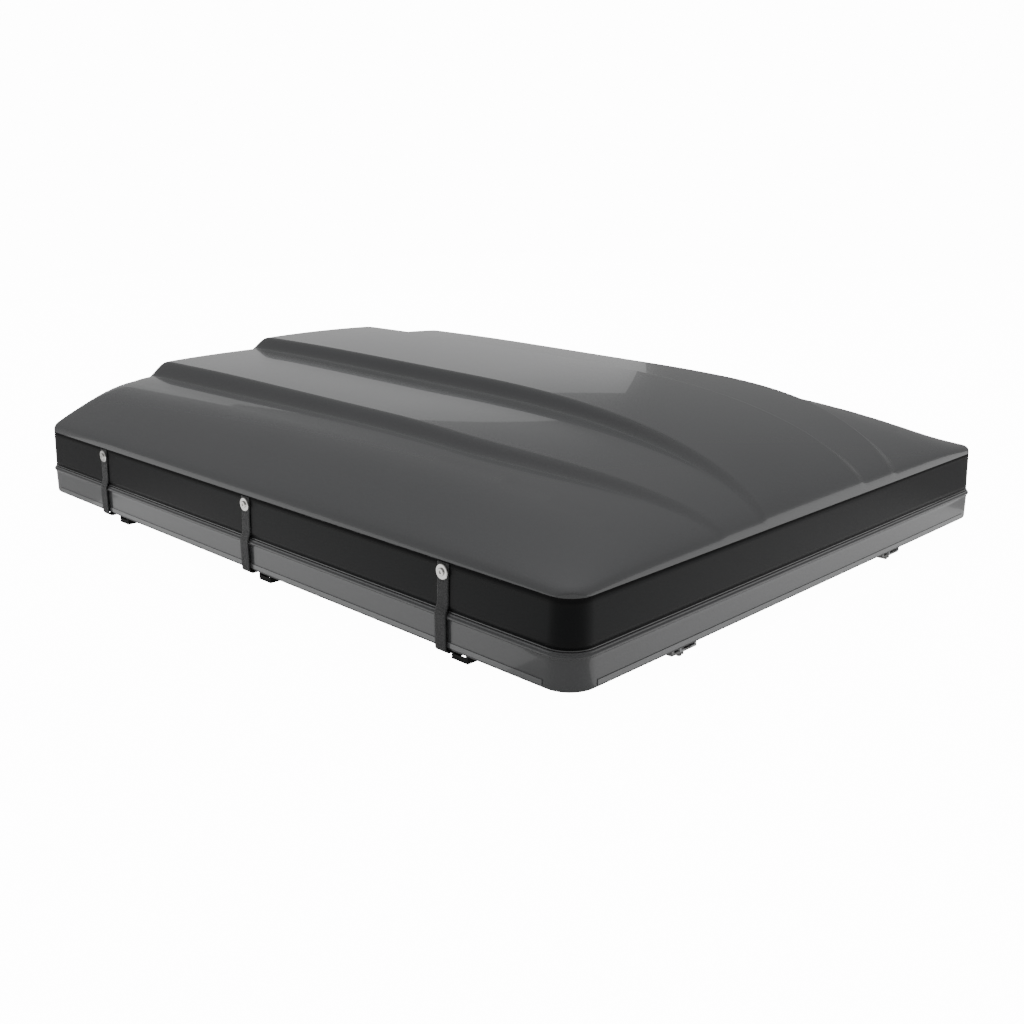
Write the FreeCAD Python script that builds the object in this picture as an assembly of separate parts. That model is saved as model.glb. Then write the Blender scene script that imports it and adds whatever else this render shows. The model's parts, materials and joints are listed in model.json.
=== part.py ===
import FreeCAD, Part
import math
import os

# Hard-shell rooftop tent, closed for travel. Millimetres, +Z up, length along Y,
# low front end towards -Y, strap side at -X, hinge side at +X.
V = FreeCAD.Vector

# ---- overall sizes -------------------------------------------------------
LENGTH = 1592.0          # over the base rim bead
WIDTH = 1270.0           # over the base rim bead
UNDER_H = 36.0           # rail and clamp depth under the tray
BASE_H = 61.0            # tray underside to parting line
BAND_H = 80.0            # parting line to the foot of the roof
CORNER_R = 52.0          # plan corner radius of the tray
PART_Z = UNDER_H + BASE_H
BAND_Z = PART_Z + BAND_H

# ---- base tray -----------------------------------------------------------
BEAD = 3.0               # bead stands out of the wall by this much
WALL = 4.0
FLOOR_T = 4.0
RIM_W = 24.0             # flat rim under the seal
RIM_GAP = 1.0            # rim top to lid edge
EDGE_ROLL = 6.0
STRIP_T, STRIP_H, STRIP_LIFT = 1.2, 8.0, 3.0
STRIP_SHORT = 54.0       # each edge strip stops this far from the corner

# ---- lid -----------------------------------------------------------------
INSET_LOW, INSET_TOP = 4.7, 7.6   # lid skirt lies this far inside the bead
BAND_T = 0.8
BAND_TOP = BAND_Z - 4.0
LID_T = 4.5
EDGE_X = WIDTH / 2 - INSET_TOP
EDGE_Y = LENGTH / 2 - INSET_TOP
# roof: a crowned deck, one pair of outer panels and a centre panel
SIDE_H, SIDE_RUN, SIDE_POWER = 105.0, 165.0, 1.35
DECK_H, DECK_CROWN, DECK_R = 94.0, 16.0, 9.0
CENTRE_X, CENTRE_W, CENTRE_H, CENTRE_CROWN = 150.0, 24.0, 27.0, 3.0
PANEL_X, PANEL_X_FRONT, PANEL_W = 400.0, 262.0, 26.0
PANEL_H, PANEL_H_REAR = 24.0, 8.0
FRONT_START, FRONT_POWER = 300.0, 3.7
REAR_SLOPE, REAR_R = 1.10, 10.0
LIP_H, LIP_RUN = 8.0, 7.0         # quick rise just inside the edge

# ---- hinges and lid travel -----------------------------------------------
OPEN_DEG = 60.0
BARREL_R = 3.5
PIN_R = 2.0
PIN_FIT = 0.05
STRAP_T, STRAP_GAP = 2.0, 1.0      # the strap sets the overall width on its side
HINGE_X = WIDTH / 2 + STRAP_GAP + STRAP_T - BARREL_R
HINGE_Z = PART_Z
HINGE_Y = (-520.0, 0.0, 520.0)
HINGE_L = 90.0
LEAF_H = 34.0
KNUCKLE_GAP = 0.5

# ---- gas struts ----------------------------------------------------------
STRUT_Y = LENGTH / 2 - 40.0
STRUT_BASE = (-100.0, -38.0)      # from the hinge axis, x and z
STRUT_LID = (-600.0, 50.0)
STRUT_R, ROD_R, EYE_R, EYE_T = 9.0, 4.0, 8.0, 6.0
STUD_R = 4.0
STRUT_FIT = 0.35
BRACKET_T = 4.0
PIVOT_GAP = 1.4

# ---- rails and clamps ----------------------------------------------------
RAIL_X, RAIL_W, RAIL_H, RAIL_T, RAIL_SLOT = 335.0, 40.0, 20.0, 2.5, 14.0
RAIL_END = LENGTH / 2 - 26.0
CLAMP_Y = RAIL_END - 30.0
CLAMP_L, CLAMP_W, CLAMP_T, CLAMP_GAP = 46.0, 64.0, 4.0, 2.2
BOLT_R, BOLT_PITCH = 4.0, 26.0

# ---- straps --------------------------------------------------------------
STRAP_Y = (-536.0, -13.0, 518.0)
STRAP_W = 25.0
STRAP_SPLIT_Z = PART_Z + 1.5
SCREW_Z = UNDER_H + 122.0
WASHER_R, WASHER_T, WASHER_LIFT = 12.5, 2.0, 0.8
HEAD_R, HEAD_H = 6.5, 2.4
BUCKLE_X = -595.0
BUCKLE_W, BUCKLE_L, BUCKLE_H = 36.0, 42.0, 31.0

# ---- packed tent inside --------------------------------------------------
PACK_X, PACK_Y = 592.0, 722.0
PANEL_T, MATTRESS_T, FOLD_T = 18.0, 39.0, 14.0
PACK_GAP = 0.5

PARTS = {}


def box(x0, x1, y0, y1, z0, z1):
    return Part.makeBox(x1 - x0, y1 - y0, z1 - z0, V(x0, y0, z0))


def cyl(r, p, d, length):
    return Part.makeCylinder(r, length, V(*p), V(*d))


def fuse(shapes):
    out = shapes[0].multiFuse(shapes[1:]) if len(shapes) > 1 else shapes[0]
    return out.removeSplitter()


def ring_wire(inset, z, r=None):
    """Rounded rectangle, the tray outline moved inwards by inset."""
    hx, hy = WIDTH / 2 - inset, LENGTH / 2 - inset
    r = max(CORNER_R - inset, 4.0) if r is None else r
    edges = []
    centres = ((hx - r, hy - r, 0), (r - hx, hy - r, 90), (r - hx, r - hy, 180), (hx - r, r - hy, 270))
    pts = []
    for cx, cy, a0 in centres:
        p = [V(cx + r * math.cos(math.radians(a0 + a)), cy + r * math.sin(math.radians(a0 + a)), z)
             for a in (0, 45, 90)]
        pts.append(p)
        edges.append(Part.Arc(*p).toShape())
    for i in range(4):
        edges.append(Part.LineSegment(pts[i][2], pts[(i + 1) % 4][0]).toShape())
    return Part.Wire(Part.__sortEdges__(edges))


def slab(inset, z0, z1):
    return Part.Face(ring_wire(inset, z0)).extrude(V(0, 0, z1 - z0))


def taper(inset_low, inset_top, z0, z1):
    return Part.makeLoft([ring_wire(inset_low, z0), ring_wire(inset_top, z1)], True, True)


def skirt_inset(z):
    return INSET_LOW + (INSET_TOP - INSET_LOW) * (z - PART_Z) / BAND_H


def skirt(extra, z0, z1):
    """Solid inside the lid skirt, moved inwards by extra."""
    return taper(skirt_inset(z0) + extra, skirt_inset(z1) + extra, z0, z1)


# ---- roof surface --------------------------------------------------------
def ease(t):
    t = min(max(t, 0.0), 1.0)
    return t * t * (3 - 2 * t)


def soft_min(a, b, k):
    m = min(a, b)
    return m - k * math.log(math.exp((m - a) / k) + math.exp((m - b) / k))


def front_rise(y):
    s = min(0.985 * max(FRONT_START - y, 0.0) / (FRONT_START + EDGE_Y), 0.9995)
    low = math.sqrt(1 - 0.985 ** FRONT_POWER)
    return (math.sqrt(1 - s ** FRONT_POWER) - low) / (1 - low)


def side_z(a):
    t = (EDGE_X - a) / SIDE_RUN
    return SIDE_H * (1 - (1 - t) ** SIDE_POWER) if t < 1 else SIDE_H * t


def panel_x(y):
    t = min(max((-330 - y) / (EDGE_Y - 330), 0.0), 1.0)
    return PANEL_X - (PANEL_X - PANEL_X_FRONT) * t ** 1.8


def roof_z(x, y):
    a = abs(x)
    deck = soft_min(side_z(a), DECK_H + DECK_CROWN * (1 - (a / 490.0) ** 4), DECK_R)
    outer = PANEL_H + PANEL_H_REAR * ease((y + 100) / 600)
    deck += outer * (1 - ease((a - panel_x(y)) / PANEL_W))
    deck += CENTRE_H * (1 - ease((a - CENTRE_X) / CENTRE_W))
    deck += CENTRE_CROWN * max(1 - (a / CENTRE_X) ** 2, 0.0)
    lip = LIP_H * (1 - math.exp(-max(min(EDGE_X - a, EDGE_Y + y), 0.0) / LIP_RUN))
    return BAND_Z + soft_min(front_rise(y) * deck + lip, REAR_SLOPE * (EDGE_Y - y), REAR_R)


def roof_stations(y):
    """Cross positions that follow the panel edges, so the surface keeps them crisp."""
    c, p = CENTRE_X, panel_x(y)
    half = [0, 50, 100, c - 12, c]
    half += [c + CENTRE_W * k / 4 for k in (1, 2, 3, 4)]
    q = half[-1]
    half += [q + (p - q) * k for k in (0.08, 0.3, 0.6, 0.85, 0.95)] + [p]
    half += [p + PANEL_W * k / 4 for k in (1, 2, 3, 4)]
    q = half[-1]
    half += [q + (EDGE_X + 8 - q) * k for k in (0.06, 0.15, 0.27, 0.4, 0.55, 0.7, 0.85, 1.0)]
    return [-h for h in reversed(half[1:])] + half


ROOF_Y = [-EDGE_Y - 7, -EDGE_Y, -781, -773, -764, -752, -738, -722, -700, -670, -630, -580, -520, -450,
          -370, -280, -180, -70, 50, 170, 280, 380, 470, 540, 590, 630, 655, 678, 700, 720, 740, 758,
          772, EDGE_Y, EDGE_Y + 7]


def under_roof(drop, floor_z=60.0):
    """Everything below the roof surface moved inwards by drop; the grid is the control net."""
    rows = []
    for y in ROOF_Y:
        row = []
        for x in roof_stations(y):
            e = 0.5
            gx = (roof_z(x + e, y) - roof_z(x - e, y)) / (2 * e)
            gy = (roof_z(x, y + e) - roof_z(x, y - e)) / (2 * e)
            steep = min(math.sqrt(1 + gx * gx + gy * gy), 2.2)
            row.append(V(x, y, roof_z(x, y) - drop * steep))
        rows.append(row)
    mults = lambda at: [4] + [1] * (len(at) - 4) + [4]
    knots = lambda at: [at[0]] + at[2:-2] + [at[-1]]     # spaced like the poles, so the surface runs evenly
    across = roof_stations(0.0)
    surf = Part.BSplineSurface()
    surf.buildFromPolesMultsKnots(rows, mults(ROOF_Y), mults(across), knots(ROOF_Y), knots(across),
                                  False, False, 3, 3)
    return surf.toShape().extrude(V(0, 0, floor_z - 420.0))


ROOF_FOOT = BAND_Z - 3.0


def lid_shape(extra, drop, z0):
    """Lid solid: tapered skirt, and above it the volume below the roof surface."""
    top = skirt(extra, ROOF_FOOT, BAND_Z + 190.0).common(under_roof(drop))
    return skirt(extra, z0, ROOF_FOOT).fuse(top)


lid_outer = lid_shape(0.0, 0.0, PART_Z)
lid_inner = lid_shape(LID_T, LID_T, PART_Z - 1)
band_groove = skirt(-1.0, PART_Z + 2, BAND_TOP).cut(skirt(BAND_T, PART_Z + 1, BAND_Z))
lid_shell = lid_outer.cut(lid_inner).cut(band_groove)
lid_band = skirt(0.0, PART_Z + 2, BAND_TOP).cut(skirt(BAND_T, PART_Z + 1, BAND_Z))
PARTS["lid_shell"] = lid_shell
PARTS["lid_band"] = lid_band


# ---- lid frame and headliner ---------------------------------------------
FRAME_W, FRAME_H = 20.0, 12.0
LINER_GAP, LINER_T = 3.0, 5.0      # the gap takes the adhesive pads
PARTS["lid_frame"] = skirt(LID_T + 0.2, PART_Z + 1.5, PART_Z + 1.5 + FRAME_H).cut(
    skirt(LID_T + 0.2 + FRAME_W, PART_Z, PART_Z + 20 + FRAME_H))
liner_zone = box(-520, 520, -640, 700, BAND_Z, BAND_Z + 190)
PARTS["lid_liner"] = liner_zone.common(under_roof(LID_T + LINER_GAP)).cut(
    under_roof(LID_T + LINER_GAP + LINER_T))

# ---- base tray -----------------------------------------------------------
RIM_Z = PART_Z - RIM_GAP
tray = slab(BEAD, UNDER_H, RIM_Z)
low_edges = [e for e in tray.Edges if e.BoundBox.ZMax < UNDER_H + 0.1]
tray = tray.makeFillet(EDGE_ROLL, low_edges)
bead = slab(0, RIM_Z - 9, RIM_Z - 3)
bead = bead.makeFillet(2.4, [e for e in bead.Edges if e.BoundBox.ZMax - e.BoundBox.ZMin < 0.1])
tray = tray.fuse(bead)
tray = tray.cut(slab(BEAD + WALL, UNDER_H + FLOOR_T, RIM_Z - WALL))
tray = tray.cut(slab(BEAD + WALL + RIM_W, RIM_Z - WALL - 1, RIM_Z + 1))
for y in HINGE_Y:
    tray = tray.cut(box(WIDTH / 2 - BEAD, WIDTH / 2 + 1, y - HINGE_L / 2 - 2, y + HINGE_L / 2 + 2,
                        RIM_Z - 12, RIM_Z + 1))
    tray = tray.cut(cyl(BARREL_R + 0.5, (HINGE_X, y - HINGE_L / 2 - 2, HINGE_Z), (0, 1, 0), HINGE_L + 4))
PARTS["base_tray"] = tray.removeSplitter()

wall_x, wall_y = WIDTH / 2 - BEAD, LENGTH / 2 - BEAD
sz0 = UNDER_H + EDGE_ROLL
sx, sy = wall_x - STRIP_SHORT, wall_y - STRIP_SHORT
strip = lambda *b: box(*b, sz0, sz0 + STRIP_H)
PARTS["edge_strip_strap_side"] = strip(-wall_x - STRIP_T, -wall_x, -sy, sy)
PARTS["edge_strip_hinge_side"] = strip(wall_x, wall_x + STRIP_T, -sy, sy)
PARTS["edge_strip_front"] = strip(-sx, sx, -wall_y - STRIP_T, -wall_y)
PARTS["edge_strip_rear"] = strip(-sx, sx, wall_y, wall_y + STRIP_T)

seal_in, seal_w = BEAD + WALL + 3.0, 8.0
PARTS["rim_seal"] = slab(seal_in, RIM_Z, RIM_Z + 2.2).cut(slab(seal_in + seal_w, RIM_Z - 1, RIM_Z + 3))

# ---- packed tent ---------------------------------------------------------
z = UNDER_H + FLOOR_T
PARTS["floor_panel"] = box(-PACK_X, PACK_X, -PACK_Y, PACK_Y, z, z + PANEL_T)
z += PANEL_T
soft = box(-PACK_X, PACK_X, -PACK_Y, PACK_Y, z, z + MATTRESS_T)
upright = [e for e in soft.Edges if e.BoundBox.ZLength > 1]
PARTS["mattress_lower"] = soft.makeFillet(30, upright)
z += MATTRESS_T + PACK_GAP
soft = box(-PACK_X + 6, PACK_X - 6, -PACK_Y, PACK_Y, z, z + MATTRESS_T)
PARTS["mattress_upper"] = soft.makeFillet(30, [e for e in soft.Edges if e.BoundBox.ZLength > 1])
z += MATTRESS_T
fold_z = z
PARTS["fold_out_floor"] = box(-PACK_X + 6, PACK_X - 6, -PACK_Y, PACK_Y, z, z + FOLD_T)
z += FOLD_T
pack_top = z
# floor hinge: a piano hinge on the strap side, standing on the fixed floor
fh_x = -PACK_X - 1.5
leaf = box(fh_x, fh_x + 1.5, -600, 600, UNDER_H + FLOOR_T + 4, pack_top - 2)
reach = box(fh_x, -PACK_X + 6, -600, 600, fold_z + 4, fold_z + 7)
PARTS["floor_hinge"] = fuse([leaf, reach, cyl(4, (fh_x - 2.5, -600, pack_top - 30), (0, 1, 0), 1200)])

bundle = box(-430, 430, -590, 630, pack_top, pack_top + 52)
bundle = bundle.makeFillet(24, [e for e in bundle.Edges if e.BoundBox.ZMax > pack_top + 51])
PARTS["canvas_bundle"] = bundle


def bow(x_leg, x_cross, y_half, zc, r):
    """A tube bow lying flat: two legs along X and a cross tube along Y."""
    parts = [cyl(r, (x_cross, -y_half, zc), (0, 1, 0), 2 * y_half)]
    for s in (-1, 1):
        parts.append(cyl(r, (x_cross, s * y_half, zc), (1, 0, 0), x_leg - x_cross))
        parts.append(Part.makeSphere(r, V(x_cross, s * y_half, zc)))
    return fuse(parts)


PARTS["bow_outer"] = bow(500.0, -545.0, 690.0, pack_top + 8.0, 8.0)
PARTS["bow_inner"] = bow(460.0, -505.0, 660.0, pack_top + 8.0, 8.0)

# ---- hinges --------------------------------------------------------------
tray_face_x = WIDTH / 2 - BEAD
k = HINGE_L / 3
for tag, y in zip(("front", "middle", "rear"), HINGE_Y):
    y0 = y - HINGE_L / 2
    mid0, mid1 = y0 + k, y0 + 2 * k
    knuckle = lambda a, b: cyl(BARREL_R, (HINGE_X, a, HINGE_Z), (0, 1, 0), b - a)
    room = lambda a, b: cyl(BARREL_R + 0.5, (HINGE_X, a, HINGE_Z), (0, 1, 0), b - a)
    bore = cyl(PIN_R + PIN_FIT, (HINGE_X, y0 - 1, HINGE_Z), (0, 1, 0), HINGE_L + 2)
    low = box(tray_face_x, HINGE_X - 1, y0, y0 + HINGE_L, HINGE_Z - LEAF_H, HINGE_Z - 0.5)
    low = low.cut(room(mid0 - KNUCKLE_GAP, mid1 + KNUCKLE_GAP))
    low = low.cut(box(HINGE_X - 1.6, HINGE_X, y0, y0 + HINGE_L, HINGE_Z - LEAF_H, HINGE_Z - BARREL_R))
    low = fuse([low, knuckle(y0, mid0 - KNUCKLE_GAP), knuckle(mid1 + KNUCKLE_GAP, y0 + HINGE_L)])
    low = low.cut(bore)
    for i in (-30, 0, 30):
        low = low.fuse(cyl(4, (HINGE_X - 1.8, y + i, HINGE_Z - 22), (1, 0, 0), 1.8))
    PARTS["hinge_%s_base_leaf" % tag] = low.removeSplitter()
    up = box(WIDTH / 2 - 12, HINGE_X - 1.6, y0, y0 + HINGE_L, HINGE_Z + 0.6, HINGE_Z + LEAF_H)
    up = up.cut(lid_outer)
    up = up.cut(room(y0 - 1, mid0 + KNUCKLE_GAP)).cut(room(mid1 - KNUCKLE_GAP, y0 + HINGE_L + 1))
    up = fuse([up, knuckle(mid0 + KNUCKLE_GAP, mid1 - KNUCKLE_GAP)]).cut(bore).cut(lid_outer)
    for i in (-30, 0, 30):
        up = up.fuse(cyl(4, (HINGE_X - 1.8, y + i, HINGE_Z + 20), (1, 0, 0), 1.6))
    PARTS["hinge_%s_lid_leaf" % tag] = up.removeSplitter()
    PARTS["hinge_%s_pin" % tag] = cyl(PIN_R, (HINGE_X, y0 - 1, HINGE_Z), (0, 1, 0), HINGE_L + 2)


# ---- gas struts ----------------------------------------------------------
def turned(p):
    a = math.radians(OPEN_DEG)
    return (p[0] * math.cos(a) + p[1] * math.sin(a), -p[0] * math.sin(a) + p[1] * math.cos(a))


def gap(a, b):
    return math.hypot(b[0] - a[0], b[1] - a[1])


strut_closed = gap(STRUT_BASE, STRUT_LID)
strut_open = gap(STRUT_BASE, turned(STRUT_LID))
stroke = strut_open - strut_closed
body_len = strut_closed - 46.0
bx, bz = HINGE_X + STRUT_BASE[0], HINGE_Z + STRUT_BASE[1]
lx, lz = HINGE_X + STRUT_LID[0], HINGE_Z + STRUT_LID[1]
ux, uz = (lx - bx) / strut_closed, (lz - bz) / strut_closed
along = lambda d: (bx + ux * d, bz + uz * d)

for tag, s in (("front", -1), ("rear", 1)):
    yc = s * STRUT_Y
    axis = (ux, 0, uz)
    inner = -s                         # towards the middle of the tent
    # base bracket: a foot on the tray floor and a stud towards the strut eye
    wall_y0 = s * (LENGTH / 2 - BEAD - WALL)
    y_plate = yc + s * (EYE_T / 2 + 0.5)
    ya, yb = sorted((y_plate, wall_y0))
    foot = box(bx - 22, bx + 22, ya, yb, UNDER_H + FLOOR_T, UNDER_H + FLOOR_T + 3)
    plate = box(bx - 12, bx + 12, *sorted((y_plate, y_plate + s * BRACKET_T)), UNDER_H + FLOOR_T, bz + 9)
    stud = cyl(STUD_R, (bx, y_plate, bz), (0, -s, 0), EYE_T + 1.5)
    cap = cyl(STUD_R + 1.5, (bx, yc - s * (EYE_T / 2 + 0.5), bz), (0, -s, 0), 1.5)
    PARTS["strut_%s_base_bracket" % tag] = fuse([foot, plate, stud, cap])
    # cylinder with an eye at the base end
    eye = cyl(EYE_R, (bx, yc - EYE_T / 2, bz), (0, 1, 0), EYE_T)
    p0, p1 = along(5), along(body_len)
    neck = cyl(3.3, (p0[0], yc, p0[1]), axis, 20)
    p2 = along(22)
    tube = cyl(STRUT_R, (p2[0], yc, p2[1]), axis, body_len - 22)
    shape = fuse([eye, neck, tube])
    shape = shape.cut(cyl(STUD_R + 0.05, (bx, yc - EYE_T, bz), (0, 1, 0), 2 * EYE_T))
    p3 = along(30)
    bore_len = body_len - 30 - 14
    shape = shape.cut(cyl(STRUT_R - 1.5, (p3[0], yc, p3[1]), axis, bore_len))
    p4 = along(30 + bore_len - 1)
    shape = shape.cut(cyl(ROD_R + STRUT_FIT, (p4[0], yc, p4[1]), axis, 20))
    PARTS["strut_%s_cylinder" % tag] = shape
    # rod with piston and a ball socket end
    p5 = along(body_len - 18 - stroke - 16)
    piston = cyl(STRUT_R - 1.5 - STRUT_FIT, (p5[0], yc, p5[1]), axis, 12)
    rod = cyl(ROD_R, (p5[0], yc, p5[1]), axis, strut_closed - 8 - (body_len - 34 - stroke))
    eye = cyl(EYE_R, (lx, yc - EYE_T / 2, lz), (0, 1, 0), EYE_T)
    p6 = along(strut_closed - 22)
    neck = cyl(3.2, (p6[0], yc, p6[1]), axis, 16)
    PARTS["strut_%s_rod" % tag] = fuse([piston, rod, eye, neck])
    # lid bracket: plate on the lid end wall, its pad stops just short of the rod end
    y_in = yc + s * (EYE_T / 2 + PIVOT_GAP)
    y_out = s * (LENGTH / 2 - skirt_inset(lz) - LID_T + 1.0)
    plate = box(lx - 24, lx + 24, *sorted((y_in + s * 3, y_out)), lz - 20, lz + 20)
    plate = plate.cut(box(lx - 14, lx + 14, *sorted((y_in + s * 6, y_out + s)), lz - 30, lz + 12))
    boss = cyl(6, (lx, y_in, lz), (0, s, 0), 4)
    PARTS["strut_%s_lid_bracket" % tag] = fuse([plate, boss]).common(lid_inner)

# ---- rails, end caps and clamps ------------------------------------------
rail_z0 = UNDER_H - RAIL_H
for tag, s in (("left", -1), ("right", 1)):
    x = s * RAIL_X
    rail = box(x - RAIL_W / 2, x + RAIL_W / 2, -RAIL_END, RAIL_END, rail_z0, UNDER_H)
    rail = rail.cut(box(x - RAIL_W / 2 + RAIL_T, x + RAIL_W / 2 - RAIL_T, -RAIL_END - 1, RAIL_END + 1,
                        rail_z0 + RAIL_T, UNDER_H - RAIL_T))
    rail = rail.cut(box(x - RAIL_SLOT / 2, x + RAIL_SLOT / 2, -RAIL_END - 1, RAIL_END + 1,
                        rail_z0 - 1, UNDER_H - RAIL_T - 1))
    PARTS["rail_%s" % tag] = rail
    for end, e in (("front", -1), ("rear", 1)):
        y = e * CLAMP_Y
        plate_top = rail_z0 - CLAMP_GAP
        plate = box(x - CLAMP_W / 2, x + CLAMP_W / 2, y - CLAMP_L / 2, y + CLAMP_L / 2,
                    plate_top - CLAMP_T, plate_top)
        ears = [box(x + q * (CLAMP_W / 2 - 3) - 3, x + q * (CLAMP_W / 2 - 3) + 3, y - CLAMP_L / 2,
                    y + CLAMP_L / 2, plate_top - CLAMP_T, UNDER_H - 8) for q in (-1, 1)]
        bolts = []
        for b in (-0.5, 0.5):
            yy = y + b * BOLT_PITCH
            bolts.append(cyl(BOLT_R, (x, yy, 0), (0, 0, 1), rail_z0 + RAIL_T + 4))
            head = box(x - 9, x + 9, yy - 6, yy + 6, rail_z0 + RAIL_T + 0.5, rail_z0 + RAIL_T + 6)
            nut = Part.Face(Part.makePolygon([V(x + 7.5 * math.cos(math.radians(60 * i)),
                                                yy + 7.5 * math.sin(math.radians(60 * i)),
                                                plate_top - CLAMP_T - 6.5) for i in range(7)]))
            bolts += [head, nut.extrude(V(0, 0, 6.5))]
        PARTS["clamp_%s_%s" % (tag, end)] = fuse([plate] + ears + bolts)

# ---- straps on the strap side --------------------------------------------
def lid_face(zz):
    return -(WIDTH / 2 - skirt_inset(zz))


for tag, y in zip(("front", "middle", "rear"), STRAP_Y):
    xs = lid_face(SCREW_Z)
    # path of the webbing's inner face, from the lid down and round the tray edge
    wall = -(WIDTH / 2 + STRAP_GAP)
    top_z = SCREW_Z + 14
    path = [(lid_face(top_z) - 0.4, top_z), (lid_face(PART_Z + 10) - 0.6, PART_Z + 10),
            (wall, RIM_Z - 3), (wall, UNDER_H + 4)]
    r_in = 7.0
    for a in (30, 60, 90):
        t = math.radians(a)
        path.append((wall + r_in - r_in * math.cos(t), UNDER_H + 4 - r_in * math.sin(t)))
    under_z = UNDER_H + 4 - r_in
    path.append((BUCKLE_X + 26, under_z))
    outer_path = []
    for i, (px, pz) in enumerate(path):
        a, b = path[max(i - 1, 0)], path[min(i + 1, len(path) - 1)]
        dx, dz = b[0] - a[0], b[1] - a[1]
        n = math.hypot(dx, dz)
        outer_path.append((px + dz / n * STRAP_T, pz - dx / n * STRAP_T))
    loop = path + outer_path[::-1] + path[:1]
    face = Part.Face(Part.makePolygon([V(px, y - STRAP_W / 2, pz) for px, pz in loop]))
    web = face.extrude(V(0, STRAP_W, 0))
    web = web.cut(cyl(4.2, (xs - 10, y, SCREW_Z), (1, 0, 0), 20))
    upper = box(-WIDTH, -WIDTH / 4, y - 30, y + 30, STRAP_SPLIT_Z + 0.4, top_z + 5)
    PARTS["strap_%s_upper" % tag] = web.common(upper)
    PARTS["strap_%s_tail" % tag] = web.common(box(-WIDTH, 0, y - 30, y + 30, 0, STRAP_SPLIT_Z))
    x_out = xs - 0.4 - STRAP_T - WASHER_LIFT
    washer = cyl(WASHER_R, (x_out, y, SCREW_Z), (-1, 0, 0), WASHER_T)
    washer = washer.makeChamfer(1.0, [e for e in washer.Edges if e.BoundBox.XMax < x_out - WASHER_T + 0.1])
    screw_hole = cyl(4.0, (x_out + 1, y, SCREW_Z), (-1, 0, 0), WASHER_T + 2)
    PARTS["strap_%s_washer" % tag] = washer.cut(screw_hole)
    head = cyl(HEAD_R, (x_out - WASHER_T, y, SCREW_Z), (-1, 0, 0), HEAD_H)
    head = head.makeFillet(1.4, [e for e in head.Edges if e.BoundBox.XMax < x_out - WASHER_T - HEAD_H + 0.1])
    socket = Part.Face(Part.makePolygon([V(x_out - WASHER_T - HEAD_H - 1, y + 3 * math.sin(math.radians(60 * i)),
                                           SCREW_Z + 3 * math.cos(math.radians(60 * i)))
                                         for i in range(7)])).extrude(V(2.6, 0, 0))
    shank = cyl(3.95, (x_out - WASHER_T - 0.5, y, SCREW_Z), (1, 0, 0), WASHER_T + STRAP_T + 1.4)
    PARTS["strap_%s_screw" % tag] = fuse([head, shank]).cut(socket).cut(lid_outer)
    # cam buckle under the tray: frame with two cheeks, webbing runs over the cam
    b0, b1 = BUCKLE_X - 4, BUCKLE_X + BUCKLE_L - 4
    top = box(b0, b1, y - BUCKLE_W / 2, y + BUCKLE_W / 2, under_z + 0.5, UNDER_H)
    cheeks = [box(b0, b1, y + q * (BUCKLE_W / 2 - 2) - 2, y + q * (BUCKLE_W / 2 - 2) + 2,
                  UNDER_H - BUCKLE_H, UNDER_H) for q in (-1, 1)]
    bar = box(b0, b0 + 3, y - BUCKLE_W / 2, y + BUCKLE_W / 2, UNDER_H - BUCKLE_H, UNDER_H - BUCKLE_H + 9)
    pin_x, pin_z = BUCKLE_X + 14, UNDER_H - 13.5
    pin = cyl(2.0, (pin_x, y - BUCKLE_W / 2 - 0.8, pin_z), (0, 1, 0), BUCKLE_W + 1.6)
    PARTS["buckle_%s_frame" % tag] = fuse([top] + cheeks + [bar, pin])
    half = BUCKLE_W / 2 - 4.4
    cam = cyl(7.0, (pin_x, y - half, pin_z), (0, 1, 0), 2 * half)
    grip = box(pin_x, pin_x + 24, y - half, y + half, pin_z - 4.5, pin_z - 1.5)
    lever = fuse([cam, grip]).cut(cyl(2.05, (pin_x, y - 30, pin_z), (0, 1, 0), 60))
    PARTS["buckle_%s_lever" % tag] = lever

# ---- write ---------------------------------------------------------------
os.makedirs("parts", exist_ok=True)
for name, shape in PARTS.items():
    if shape.ShapeType == "Compound" and len(shape.Solids) == 1:
        shape = shape.Solids[0]
    shape.exportStep("parts/%s.step" % name)
    print(name, len(shape.Solids), shape.isValid())
print("strut", round(strut_closed, 2), round(strut_open, 2), len(PARTS))
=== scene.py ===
# %% [markdown]
# # A hard-shell rooftop tent, closed for travel
# The imported CAD model is the fixed frame. Its box gives every size used here: the tray,
# the parting line between tray and lid, and the foot of the roof. New pieces are
# computed as surfaces from formulas; all but the straps follow the CAD bodies when the lid opens.

# %% Load the frame
import json
import math

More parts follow.
